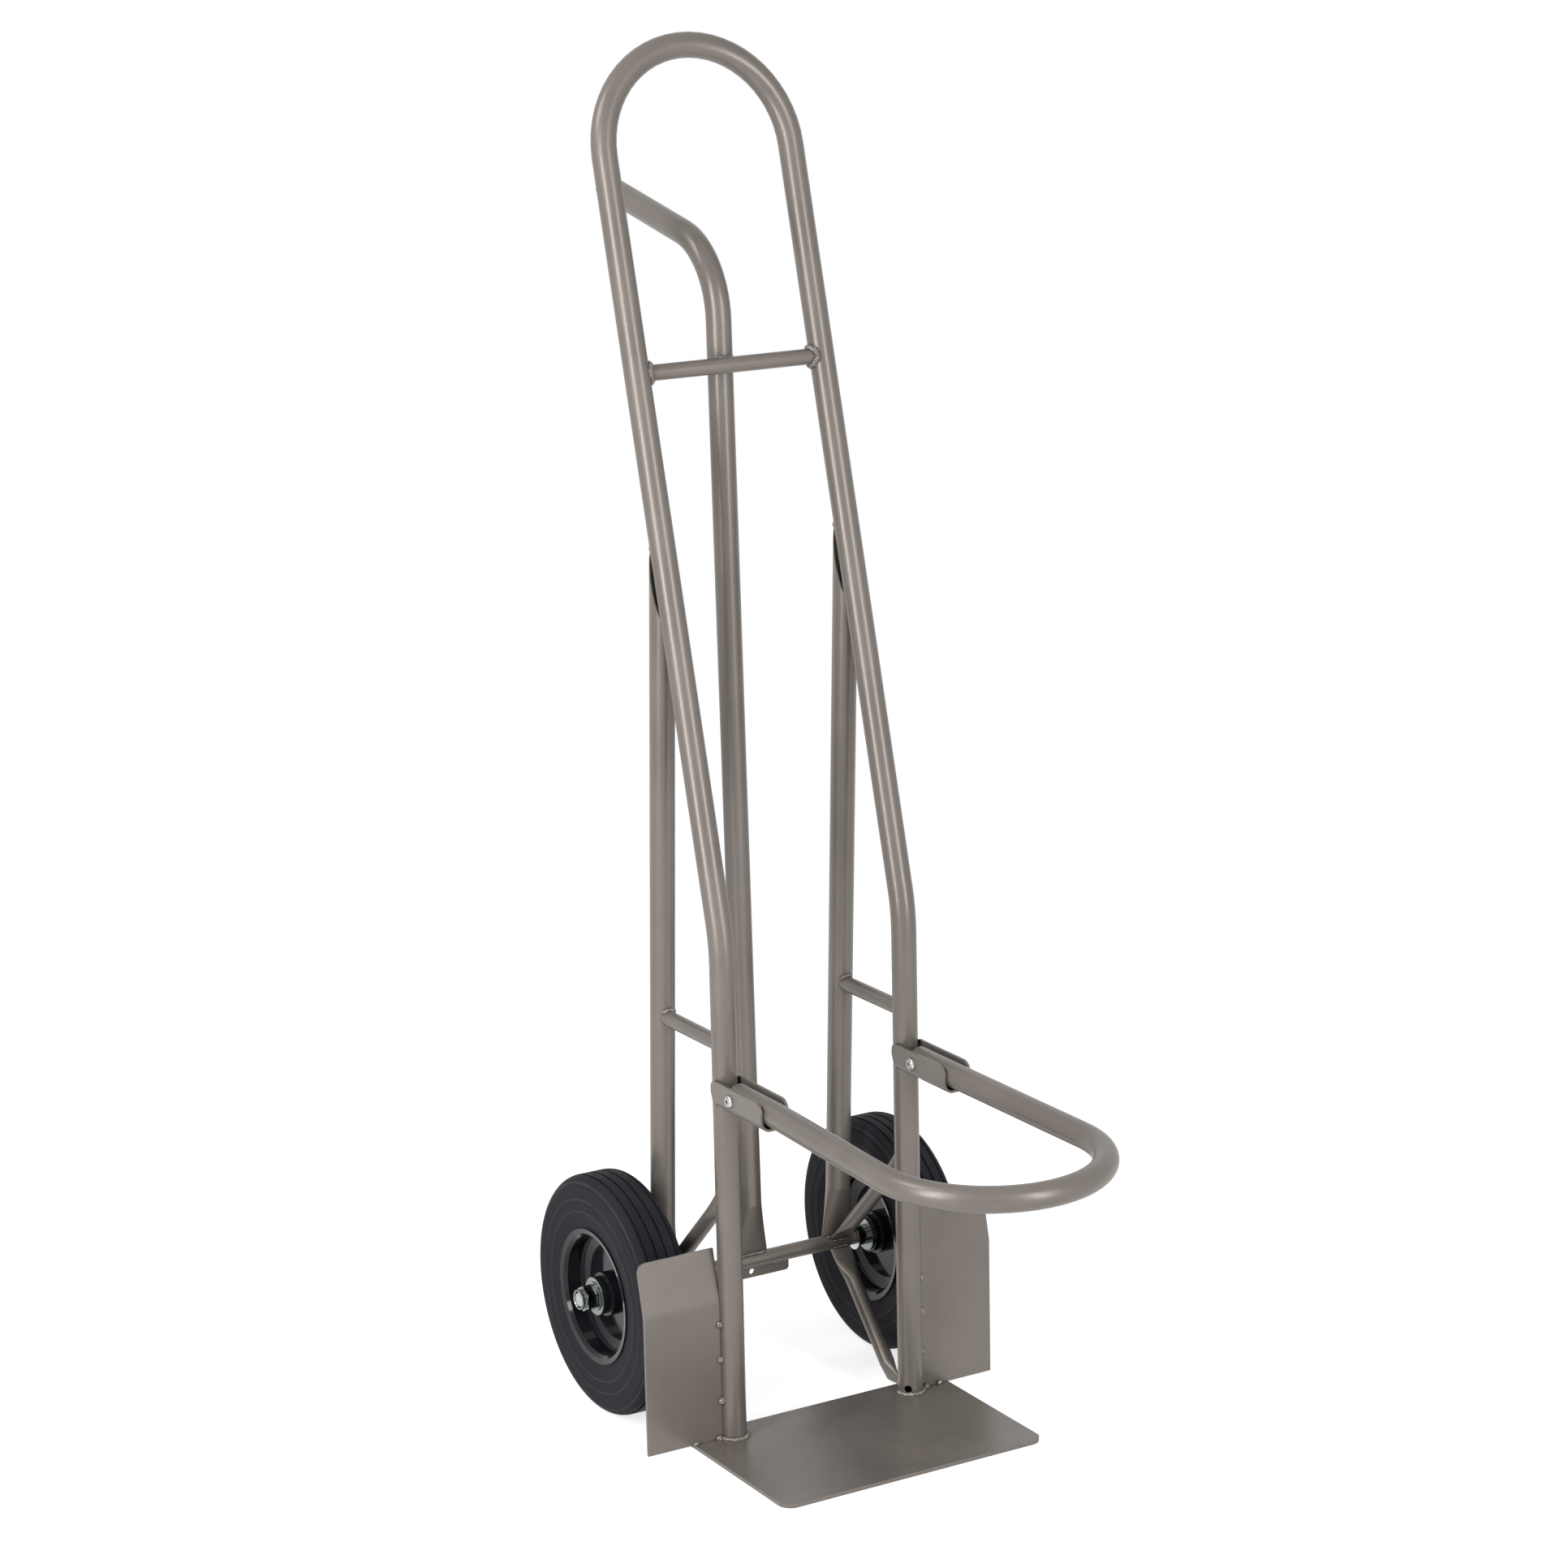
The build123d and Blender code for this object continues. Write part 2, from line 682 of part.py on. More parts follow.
def build():
    """Every piece of the dolly in its own place, by the name of its node."""
    pieces = {
        "main_hoop": main_hoop(),
        "cross_bar": cross_bar(),
        "spine_handle": spine_handle(),
        "handle_end_plug": handle_end_plug(),
        "toe_plate": toe_plate(),
        "axle_rod": axle_rod(),
        "axle_tab": axle_tab(),
        "fork_loop": fork_loop(),
    }
    left_frame = {
        "rear_upright": rear_upright,
        "mid_brace": mid_brace,
        "upper_strut": upper_strut,
        "lower_strut": lower_strut,
        "wing_plate": wing_plate,
        "fork_bracket": fork_bracket,
    }
    for name, make in left_frame.items():
        left = make(-rail_x)
        pieces[name + "_left"] = left
        pieces[name + "_right"] = mirror(left, about=Plane.YZ)
    for side, x in (("left", -rail_x), ("right", rail_x)):
        pieces["fork_bolt_" + side] = fork_bolt(x)
        pieces["fork_nut_" + side] = fork_nut(x)
    on_wheel = {
        "tyre": tyre(),
        "rim_outer": rim_half(),
        "rim_inner": mirror(rim_half(), about=Plane.YZ),
        "hub": hub(),
        "hub_bushings": hub_bushings(),
    }
    spacer_length = cup_washer_start - spacer_start
    on_axle = {
        "stop_washer": washer(stop_washer_start, stop_washer_thickness, stop_washer_dia),
        "axle_spacer": washer(spacer_start, spacer_length, spacer_dia),
        "cup_washer": washer(cup_washer_start, cup_washer_thickness, cup_washer_dia),
        "hub_washer": washer(hub_washer_start, hub_washer_thickness, hub_washer_dia),
        "nut_washer": washer(nut_washer_start, nut_washer_thickness, nut_washer_dia),
        "axle_nut": axle_nut(nut_start),
    }
    wheel_place = Pos(axle_centre + across * wheel_x)
    for name, piece in on_wheel.items():
        right = wheel_place * piece
        pieces[name + "_right"] = right
        pieces[name + "_left"] = mirror(right, about=Plane.YZ)
    for name, piece in on_axle.items():
        right = Pos(axle_centre) * piece
        pieces[name + "_right"] = right
        pieces[name + "_left"] = mirror(right, about=Plane.YZ)
    return {name: centre_shift * piece for name, piece in pieces.items()}


os.makedirs("parts", exist_ok=True)
for node, shape in build().items():
    export_step(shape, "parts/" + node + ".step")
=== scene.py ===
# %% [markdown]
# # A dolly for stacks of chairs
#
# This truck slides its flat toe plate under a stack of chairs and tips it back on two wheels.
# Its frame is bent steel tube with painted welds, and its wheels are solid rubber on pressed rims.
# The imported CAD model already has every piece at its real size, in metres, with Z up.
# Here we give the pieces their finishes, add the welds and lock nuts, and set up light and camera.

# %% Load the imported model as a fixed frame
import json
from math import cos, pi, radians, sin, sqrt, tan

import bmesh
import bpy
from mathutils import Matrix, Vector


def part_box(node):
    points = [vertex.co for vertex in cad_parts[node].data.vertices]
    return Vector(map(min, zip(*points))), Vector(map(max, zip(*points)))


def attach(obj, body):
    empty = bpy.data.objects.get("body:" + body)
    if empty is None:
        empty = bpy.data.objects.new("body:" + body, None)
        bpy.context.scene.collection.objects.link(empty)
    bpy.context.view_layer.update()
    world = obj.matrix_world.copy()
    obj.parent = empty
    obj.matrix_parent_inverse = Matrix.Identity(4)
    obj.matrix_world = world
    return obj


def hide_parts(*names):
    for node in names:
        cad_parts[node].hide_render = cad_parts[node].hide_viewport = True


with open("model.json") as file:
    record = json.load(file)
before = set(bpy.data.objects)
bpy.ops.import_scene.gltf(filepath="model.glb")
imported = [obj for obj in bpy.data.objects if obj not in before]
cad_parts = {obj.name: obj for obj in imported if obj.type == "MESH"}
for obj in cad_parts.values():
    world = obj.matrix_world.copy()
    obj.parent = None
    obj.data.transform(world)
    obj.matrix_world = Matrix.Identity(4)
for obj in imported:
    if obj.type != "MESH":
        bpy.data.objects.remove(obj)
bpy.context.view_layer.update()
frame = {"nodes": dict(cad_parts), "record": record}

nodes = frame["nodes"]
scene = bpy.context.scene
MM = 0.001

# %% [markdown]
# ## The camera
#
# The picture was taken from the left front, a little above the wheels, with a long lens.
# We set the camera by its place, the way it faces, how far it looks down and its roll.
# A rotation matrix with the right, up and back directions as columns says all of that at once.

# %% Put the camera where the photographer stood
camera_place = Vector((-1.9637, -3.2752, 1.6201))
camera_turn = radians(-30.40)
camera_tilt = radians(14.03)
camera_roll = radians(-1.25)
camera_lens = 93.13

back = Vector((sin(camera_turn) * cos(camera_tilt), -cos(camera_turn) * cos(camera_tilt), sin(camera_tilt)))
right = Vector((cos(camera_turn), sin(camera_turn), 0))
up = back.cross(right)
rolled_right = right * cos(camera_roll) + up * sin(camera_roll)
rolled_up = up * cos(camera_roll) - right * sin(camera_roll)
facing = Matrix((rolled_right, rolled_up, back)).transposed().to_4x4()

camera_data = bpy.data.cameras.new("camera")
camera_data.lens = camera_lens
camera_data.sensor_width = 36.0
camera_data.clip_end = 50.0
camera = bpy.data.objects.new("camera", camera_data)
camera.matrix_world = Matrix.Translation(camera_place) @ facing
scene.collection.objects.link(camera)
scene.camera = camera
print("camera distance:", round(camera_place.length, 3), "m")

# %% [markdown]
# ## Sizes that the extra pieces need
#
# Welds and nuts sit on the tubes, so their places are read from the boxes of the CAD pieces.
# A box gives a tube's side or an axle's middle. The radii and the leans of the tubes don't show
# in a box, so they are written here.

# %% Read the main places from the frame
tube_radius = 12.7 * MM
brace_radius = 7.95 * MM
lean = radians(14.25)
upright_lean = radians(3.2)
hoop_bend_height = 515.5 * MM
lean_up = Vector((0, sin(lean), cos(lean)))
lean_back = Vector((0, cos(lean), -sin(lean)))
upright_run = Vector((0, -sin(upright_lean), cos(upright_lean)))
across = Vector((1, 0, 0))
to_back = Vector((0, 1, 0))
upward = Vector((0, 0, 1))

hoop_low, hoop_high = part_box("main_hoop")
bar_low, bar_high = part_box("cross_bar")
rod_low, rod_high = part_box("axle_rod")
toe_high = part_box("toe_plate")[1]
rail_x = hoop_high.x - tube_radius
rail_y = hoop_low.y + tube_radius
rail_rear = rail_y + tube_radius
cross_middle = (bar_low + bar_high) / 2
axle_middle = (rod_low + rod_high) / 2
rod_radius = (rod_high.z - rod_low.z) / 2
print("rails at X", round(rail_x, 4), "Y", round(rail_y, 4), "axle at", [round(v, 4) for v in axle_middle])

# %% [markdown]
# ## Shared shader groups
#
# Sprayed paint, plated steel and moulded rubber are different stuff, but all of them vary in the
# same ways: broad clouds of a slightly different colour, and a fine grain that scatters light.
# One node group makes both from noise, and each material places it with its own sizes and colours.
# A second group gives a soft mask of dust that thins out with height above the floor.
# A third paints shade into the narrow seams between pieces, where another surface is close.
# Groups hold only what changes over the surface. The shader itself stays in the material.

# %% Helpers that make node groups and nodes quickly
def new_group(name, kind, inputs, outputs):
    """An empty node group with named sockets, given as (name, socket type, default)."""
    group = bpy.data.node_groups.new(name, kind)
    for socket, socket_type, default in inputs:
        made = group.interface.new_socket(name=socket, in_out="INPUT", socket_type=socket_type)
        if default is not None:
            made.default_value = default
    for socket, socket_type in outputs:
        group.interface.new_socket(name=socket, in_out="OUTPUT", socket_type=socket_type)
    return group


def put(tree, kind, settings=None, **links):
    """Add a node, set its properties, and feed its inputs with sockets or plain values.

    A key names an input, with _ for a space, or is i0 or i1 for the first or second input."""
    node = tree.nodes.new(kind)
    for name, value in (settings or {}).items():
        setattr(node, name, value)
    for key, value in links.items():
        counted = key[0] == "i" and key[1:].isdigit()
        socket = node.inputs[int(key[1:])] if counted else node.inputs[key.replace("_", " ")]
        if isinstance(value, bpy.types.NodeSocket):
            tree.links.new(value, socket)
        else:
            socket.default_value = value
    return node


def calc(tree, operation, first, second=0.0, clamp=False):
    """One Math node, which returns its output socket."""
    settings = {"operation": operation, "use_clamp": clamp}
    return put(tree, "ShaderNodeMath", settings, i0=first, i1=second).outputs[0]


def vector_calc(tree, operation, **links):
    """One Vector Math node, which returns its outputs."""
    return put(tree, "ShaderNodeVectorMath", {"operation": operation}, **links).outputs


def ramp(tree, value, low, high, start=0.0, end=1.0, smooth=False):
    """Turn a value's run from low to high into a run from start to end, and clamp it there."""
    settings = {"interpolation_type": "SMOOTHSTEP" if smooth else "LINEAR"}
    links = {"Value": value, "From_Min": low, "From_Max": high, "To_Min": start, "To_Max": end}
    return put(tree, "ShaderNodeMapRange", settings, **links).outputs["Result"]


def noise(tree, place, scale, detail, roughness=0.5):
    """Noise values around 0.5, with scale as cells per metre."""
    links = {"Vector": place, "Scale": scale, "Detail": detail, "Roughness": roughness}
    return put(tree, "ShaderNodeTexNoise", **links).outputs["Fac"]


def object_place(tree):
    """The place on the surface in Object coordinates, in metres."""
    return tree.nodes.new("ShaderNodeTexCoord").outputs["Object"]


def blend_colors(tree, share, first, second):
    """Mix two colours by share, each a socket or plain red, green and blue."""
    node = put(tree, "ShaderNodeMix", {"data_type": "RGBA"}, Factor=share)
    ends = [s for s in node.inputs if s.type == "RGBA"]
    for color, socket in zip((first, second), ends):
        if isinstance(color, bpy.types.NodeSocket):
            tree.links.new(color, socket)
        else:
            socket.default_value = (*color, 1)
    return [s for s in node.outputs if s.type == "RGBA"][0]


def run_group(tree, group, **links):
    """A node that runs a shared group in a material."""
    return put(tree, "ShaderNodeGroup", {"node_tree": group}, **links).outputs


print("helpers ready")

# %% Group: clouds and grain
def cloud_and_grain_group():
    """Colour clouds, a roughness that follows them, and a fine height from two noises."""
    group = new_group(
        "clouds_and_grain",
        "ShaderNodeTree",
        [
            ("Clouds per Metre", "NodeSocketFloat", 12.0),
            ("Grain per Metre", "NodeSocketFloat", 700.0),
            ("Light Color", "NodeSocketColor", (0.5, 0.5, 0.5, 1)),
            ("Dark Color", "NodeSocketColor", (0.4, 0.4, 0.4, 1)),
            ("Least Roughness", "NodeSocketFloat", 0.3),
            ("Most Roughness", "NodeSocketFloat", 0.4),
        ],
        [("Color", "NodeSocketColor"), ("Roughness", "NodeSocketFloat"), ("Height", "NodeSocketFloat")],
    )
    given = group.nodes.new("NodeGroupInput").outputs
    place = object_place(group)
    clouds = noise(group, place, given["Clouds per Metre"], detail=4.0, roughness=0.55)
    grain = noise(group, place, given["Grain per Metre"], detail=2.0)
    spread = ramp(group, clouds, 0.35, 0.65)
    fleck = ramp(group, grain, 0.3, 0.7, start=-0.35, end=0.35)
    share = calc(group, "ADD", spread, fleck, clamp=True)
    color = blend_colors(group, share, given["Dark Color"], given["Light Color"])
    rough = ramp(group, share, 0.0, 1.0, given["Least Roughness"], given["Most Roughness"])
    put(group, "NodeGroupOutput", Color=color, Roughness=rough, Height=grain)
    return group


clouds_and_grain = cloud_and_grain_group()
print("group:", clouds_and_grain.name, "with", len(clouds_and_grain.nodes), "nodes")

# %% Group: dust near the floor
def floor_dust_group():
    """A mask from 0 to 1 that is strongest at the floor and broken up by noise."""
    group = new_group(
        "floor_dust",
        "ShaderNodeTree",
        [("Reach", "NodeSocketFloat", 0.2), ("Strength", "NodeSocketFloat", 0.2)],
        [("Mask", "NodeSocketFloat")],
    )
    given = group.nodes.new("NodeGroupInput").outputs
    place = object_place(group)
    height = put(group, "ShaderNodeSeparateXYZ", Vector=place).outputs["Z"]
    near = calc(group, "SUBTRACT", 1.0, calc(group, "DIVIDE", height, given["Reach"]), clamp=True)
    patches = noise(group, place, 45.0, detail=5.0, roughness=0.6)
    broken = ramp(group, patches, 0.4, 0.7)
    mask = calc(group, "MULTIPLY", calc(group, "MULTIPLY", near, broken), given["Strength"], clamp=True)
    put(group, "NodeGroupOutput", Mask=mask)
    return group


floor_dust = floor_dust_group()
print("group:", floor_dust.name, "with", len(floor_dust.nodes), "nodes")

# %% Group: painted shade in seams
# The colour of the painted shade that darkens narrow seams.
painted_seam_shade = (0.012, 0.011, 0.010)


def seam_shade_group():
    """Darken a colour where another surface is closer than Distance: painted shade in a seam."""
    group = new_group(
        "seam_shade",
        "ShaderNodeTree",
        [
            ("Color", "NodeSocketColor", (0.5, 0.5, 0.5, 1)),
            ("Distance", "NodeSocketFloat", 0.004),
            ("Strength", "NodeSocketFloat", 0.6),
        ],
        [("Color", "NodeSocketColor")],
    )
    given = group.nodes.new("NodeGroupInput").outputs
    around = put(group, "ShaderNodeAmbientOcclusion", {"samples": 6}, Distance=given["Distance"])
    closed = ramp(group, around.outputs["AO"], 0.1, 0.75, start=1.0, end=0.0)
    share = calc(group, "MULTIPLY", closed, given["Strength"], clamp=True)
    put(group, "NodeGroupOutput", Color=blend_colors(group, share, given["Color"], painted_seam_shade))
    return group


seam_shade = seam_shade_group()
print("group:", seam_shade.name, "with", len(seam_shade.nodes), "nodes")

# %% [markdown]
# ## The finishes
#
# The frame has one coat of satin grey-brown enamel with fine metal flake, sprayed over the welds.
# The rims are gloss black, the tyres matt moulded rubber, and the fork's bolts bright zinc.
# The axle's washers and nuts are a darker, slightly green copy of the zinc: the darkness is painted shade.
# Each could be a painted picture, but noise in Object coordinates has no seams and no end.
# So every material takes its colour, roughness and bump from the groups above, and the shader's
# fixed numbers, such as metal content and clear coat, are set straight on its sockets.

# %% One function makes each finish from its own values
def new_material(name, light, dark, clouds, grain, rough, bump, fixed, edge, dust=None, seam=None):
    """A Principled material whose colour, roughness and bump come from the shared groups.

    clouds and grain are counts per metre, rough its least and most, bump its depth in metres,
    fixed the shader's constants, edge the radius in metres to which sharp edges look rounded,
    dust a colour with its reach in metres and its strength, and seam how far and how much
    painted shade darkens a seam."""
    material = bpy.data.materials.new(name)
    material.use_nodes = True
    tree = material.node_tree
    shader = tree.nodes["Principled BSDF"]
    for socket, value in fixed.items():
        shader.inputs[socket].default_value = value
    varied = run_group(
        tree, clouds_and_grain,
        Clouds_per_Metre=clouds, Grain_per_Metre=grain,
        Light_Color=(*light, 1), Dark_Color=(*dark, 1),
        Least_Roughness=rough[0], Most_Roughness=rough[1],
    )
    color = varied["Color"]
    if dust:
        dust_color, reach, strength = dust
        mask = run_group(tree, floor_dust, Reach=reach, Strength=strength)["Mask"]
        color = blend_colors(tree, mask, color, dust_color)
    # Painted shade in narrow seams, where another surface is close.
    if seam:
        distance, strength = seam
        color = run_group(tree, seam_shade, Color=color, Distance=distance, Strength=strength)["Color"]
    rounded = put(tree, "ShaderNodeBevel", {"samples": 4}, Radius=edge).outputs["Normal"]
    bumped = put(tree, "ShaderNodeBump", Height=varied["Height"], Distance=bump, Normal=rounded)
    tree.links.new(color, shader.inputs["Base Color"])
    tree.links.new(varied["Roughness"], shader.inputs["Roughness"])
    tree.links.new(bumped.outputs["Normal"], shader.inputs["Normal"])
    return material


frame_paint = new_material(
    "satin_frame_enamel",
    light=(0.212, 0.188, 0.168), dark=(0.186, 0.164, 0.147), clouds=9.0, grain=900.0,
    rough=(0.31, 0.39), bump=0.000014,
    fixed={"Metallic": 0.35, "Specular IOR Level": 0.22, "Coat Weight": 0.10, "Coat Roughness": 0.22},
    edge=0.9 * MM, seam=(3.0 * MM, 0.75), dust=((0.34, 0.32, 0.30), 0.08, 0.10),
)
zinc = new_material(
    "bright_zinc",
    light=(0.58, 0.585, 0.575), dark=(0.40, 0.40, 0.39), clouds=60.0, grain=1600.0,
    rough=(0.16, 0.28), bump=0.00003, fixed={"Metallic": 1.0}, edge=0.3 * MM, seam=(2.0 * MM, 0.6),
)
# A darker copy of zinc for the axle's washers and nuts: painted shade for their dim reflections, with a
# slight green tint.
axle_zinc_shaded = new_material(
    "axle_zinc_painted_shade",
    light=(0.27, 0.29, 0.282), dark=(0.155, 0.168, 0.164), clouds=60.0, grain=1600.0,
    rough=(0.14, 0.26), bump=0.00003, fixed={"Metallic": 1.0}, edge=0.3 * MM, seam=(2.0 * MM, 0.6),
)
tyre_rubber = new_material(
    "moulded_rubber",
    light=(0.029, 0.0285, 0.034), dark=(0.018, 0.0175, 0.022), clouds=14.0, grain=1100.0,
    rough=(0.50, 0.66), bump=0.00012, fixed={"Specular IOR Level": 0.05}, edge=0.8 * MM,
)
rim_paint = new_material(
    "gloss_rim_enamel",
    light=(0.012, 0.013, 0.016), dark=(0.008, 0.009, 0.011), clouds=25.0, grain=500.0,
    rough=(0.06, 0.11), bump=0.00001, edge=0.6 * MM,
    fixed={"Specular IOR Level": 0.18, "Coat Weight": 0.15, "Coat Roughness": 0.03},
)
weld_paint = new_material(
    "enamel_over_weld",
    light=(0.26, 0.231, 0.207), dark=(0.16, 0.141, 0.127), clouds=160.0, grain=420.0,
    rough=(0.13, 0.25), bump=0.0007, edge=0.3 * MM, seam=(2.5 * MM, 0.6),
    fixed={"Metallic": 0.35, "Specular IOR Level": 0.3, "Coat Weight": 0.4, "Coat Roughness": 0.08},
)
black_plastic = new_material(
    "black_cap_plastic",
    light=(0.024, 0.024, 0.025), dark=(0.016, 0.016, 0.017), clouds=40.0, grain=1500.0,
    rough=(0.38, 0.5), bump=0.00006, fixed={}, edge=0.4 * MM,
)
finishes = {
    "frame_paint": frame_paint,
    "zinc": zinc,
    "tyre_rubber": tyre_rubber,
    "rim_paint": rim_paint,
    "black_plastic": black_plastic,
}
print("finishes:", sorted(finishes))

# %% [markdown]
# The raised moulded rings on a tyre's side are painted a paler grey than the rubber between them,
# as a painted highlight where they catch the light. Their distance from the axle is the same all
# round, so a mask on that distance draws them: the wheel's middle is subtracted from Object
# coordinates, and X is left out.

# %% The tyres: painted highlights on the rings of the side
def paint_ring_highlights(material, radii, width, color, strength):
    """Mix a paler colour, a painted highlight, into a material on rings around the axle, given by their
    radii.
    """
    tree = material.node_tree
    base = tree.nodes["Principled BSDF"].inputs["Base Color"]
    place = object_place(tree)
    offset = vector_calc(tree, "SUBTRACT", i0=place, i1=axle_middle)["Vector"]
    flat = vector_calc(tree, "MULTIPLY", i0=offset, i1=(0.0, 1.0, 1.0))["Vector"]
    radius = vector_calc(tree, "LENGTH", i0=flat)["Value"]
    mask = 0.0
    for ring in radii:
        away = calc(tree, "ABSOLUTE", calc(tree, "SUBTRACT", radius, ring))
        band = ramp(tree, away, width / 4, width / 2, start=1.0, end=0.0, smooth=True)
        mask = calc(tree, "MAXIMUM", band, mask)
    ring_patches = noise(tree, place, 30.0, detail=3.0)
    share = calc(tree, "MULTIPLY", mask, calc(tree, "MULTIPLY", ring_patches, strength), clamp=True)
    tree.links.new(blend_colors(tree, share, base.links[0].from_socket, color), base)


ring_radii = (87.5 * MM, 100.0 * MM, 117.0 * MM)
# Paler rings on the tyres' sides: painted highlights where the raised rings catch the light.
paint_ring_highlights(tyre_rubber, ring_radii, width=2.6 * MM, color=(0.085, 0.083, 0.09), strength=0.75)
print("rubbed rings:", len(ring_radii), "on each side of a tyre")

# %% [markdown]
# The axle rod is painted with the frame, but its ends are bare zinc where the wheels run.
# Two objects would need a cut in the rod, so one material changes with the distance from the
# middle instead: a mask on the X coordinate mixes paint and zinc just outside the uprights.

# %% The axle rod: paint in the middle, zinc at the ends
paint_past_rail = 19 * MM
rod_zinc = (0.42, 0.43, 0.42)


def rod_material():
    """frame_paint between the uprights and bare zinc outside them."""
    material = frame_paint.copy()
    material.name = "axle_rod_paint_and_zinc"
    tree = material.node_tree
    shader = tree.nodes["Principled BSDF"]
    base, metal = shader.inputs["Base Color"], shader.inputs["Metallic"]
    side = calc(tree, "ABSOLUTE", put(tree, "ShaderNodeSeparateXYZ", Vector=object_place(tree)).outputs["X"])
    paint_end = rail_x + paint_past_rail
    mask = ramp(tree, side, paint_end, paint_end + MM)
    tree.links.new(blend_colors(tree, mask, base.links[0].from_socket, rod_zinc), base)
    tree.links.new(ramp(tree, mask, 0.0, 1.0, start=metal.default_value, end=1.0), metal)
    return material


rod_finish = rod_material()
print("rod finish:", rod_finish.name)

# %% Give every CAD piece its finish
special = {"axle_rod": rod_finish}
for side_name in ("left", "right"):
    for piece_name in ("axle_spacer_", "cup_washer_", "hub_washer_", "nut_washer_"):
        special[piece_name + side_name] = axle_zinc_shaded
for row in frame["record"]["subparts"]:
    mesh = nodes[row["node"]].data
    mesh.materials.clear()
    mesh.materials.append(special.get(row["node"], finishes[row["material_slot"]]))

# %% [markdown]
# ## Weld beads
#
# A gas weld is a row of small overlapping puddles, so the bead swells and shrinks every 2 mm.
# Where a round tube meets another, the bead follows the curve in which the two surfaces meet.
# We could draw each bead by hand, but the curve is plain geometry: walk round the branch tube,
# and slide each of its straight lines along until it is one tube radius from the other's axis.
# A Geometry Nodes tree then turns every line into a rippled bead with tapered ends.

# %% Where a round bar meets a round tube
def meeting_line(bar_point, bar_run, bar_radius, tube_point, tube_run, tube_size, angles, sideways):
    """Points of the line in which a bar meets a tube, one for each angle around the bar.

    bar_run points from the bar towards the tube, and sideways is the direction of angle 0."""
    other = bar_run.cross(sideways).normalized()
    points = []
    for angle in angles:
        start = bar_point + (sideways * cos(angle) + other * sin(angle)) * bar_radius
        gap = start - tube_point
        gap -= tube_run * gap.dot(tube_run)
        run = bar_run - tube_run * bar_run.dot(tube_run)
        a, b, c = run.dot(run), 2 * gap.dot(run), gap.dot(gap) - tube_size**2
        points.append(start + bar_run * ((-b - sqrt(max(b * b - 4 * a * c, 0))) / (2 * a)))
    return points


def turn_range(start, end, step=8):
    """Angles in radians from start to end degrees."""
    count = max(2, int(abs(end - start) / step))
    return [radians(start + (end - start) * i / count) for i in range(count + 1)]


beads = []


def add_bead(points, size, both_sides=False):
    """Keep one bead as (points, size), and with both_sides also its mirror image in X."""
    beads.append((points, size))
    if both_sides:
        beads.append(([Vector((-p.x, p.y, p.z)) for p in points], size))


print("bead helpers ready")

# %% Beads at the cross bar, the braces and the feet of the rails
lift = 0.8 * MM
seam_rise = 0.4 * MM
brace_skin = brace_radius + lift
tube_skin = tube_radius + lift

rail_at_bar = Vector((rail_x, cross_middle.y, cross_middle.z))
cross_ring = meeting_line(
    cross_middle, across, brace_skin, rail_at_bar, lean_up, tube_skin, turn_range(0, 372), lean_back
)
add_bead(cross_ring, 3.6 * MM, both_sides=True)

mid_low, mid_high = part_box("mid_brace_right")
mid_middle = Vector((rail_x, (mid_low.y + mid_high.y) / 2, (mid_low.z + mid_high.z) / 2))
upright_foot = Vector((rail_x, axle_middle.y, axle_middle.z))
rail_foot = Vector((rail_x, rail_y, 0))
brace_ends = ((to_back, upright_foot, upright_run), (-to_back, rail_foot, upward))
brace_arcs = ((-62, 48, 2.6 * MM), (150, 205, 2.0 * MM))
for turn_from, turn_to, size in brace_arcs:
    for run, tube_point, tube_run in brace_ends:
        arc = turn_range(turn_from, turn_to)
        end = meeting_line(mid_middle, run, brace_skin, tube_point, tube_run, tube_skin, arc, upward)
        add_bead(end, size, both_sides=True)

foot_ring = [
    Vector((rail_x + tube_skin * sin(a), rail_y - tube_skin * cos(a), toe_high.z + seam_rise))
    for a in turn_range(-105, 105)
]
add_bead(foot_ring, 3.1 * MM, both_sides=True)
print("beads so far:", len(beads))

# %% Beads where flattened tube ends sit on the axle rod
def rod_bead(x, run, thickness, width, size):
    """Two straight beads along the rod, one on each side of a flattened end."""
    side = run.cross(across)
    out = sqrt(rod_radius**2 - (thickness / 2) ** 2)
    for sign in (-1, 1):
        line = axle_middle + run * (out + lift) + side * (sign * (thickness / 2 + lift))
        add_bead([Vector((x + along * width / 2, line.y, line.z)) for along in (-1, 0, 1)], size)


def run_from_axle(y, z):
    """The direction from the axle to a place, seen from the side."""
    return Vector((0, y - axle_middle.y, z - axle_middle.z)).normalized()


upper_strut_aim = 260 * MM
lower_strut_back = 30 * MM
upper_run = run_from_axle(rail_y, upper_strut_aim)
lower_run = run_from_axle(rail_y + lower_strut_back, toe_high.z)
spine_run = run_from_axle(cross_middle.y + tube_radius + brace_radius, cross_middle.z)
tube_flat = {"thickness": 7 * MM, "width": 32 * MM, "size": 1.9 * MM}
strut_flat = {"thickness": 4.4 * MM, "width": 19 * MM, "size": 1.6 * MM}
rod_bead(0, spine_run, **tube_flat)
for x in (-rail_x, rail_x):
    rod_bead(x, upright_run, **tube_flat)
    rod_bead(x, upper_run, **strut_flat)
    rod_bead(x, lower_run, **strut_flat)
print("beads so far:", len(beads))

# %% Beads at the spine, the strut heads, the brackets, the tab and the toe plate's rear
spine_at_bar = cross_middle + Vector((0, tube_radius + brace_radius, 0))
toward_bar = across.cross(spine_run)
nook_rise = 6.4 * MM
for sign in (-1, 1):
    middle = spine_at_bar + spine_run * (sign * nook_rise)
    ring = [(across * sin(a) + toward_bar * cos(a)) * tube_skin for a in turn_range(-38, 38)]
    add_bead([middle + spoke for spoke in ring], 2.3 * MM)

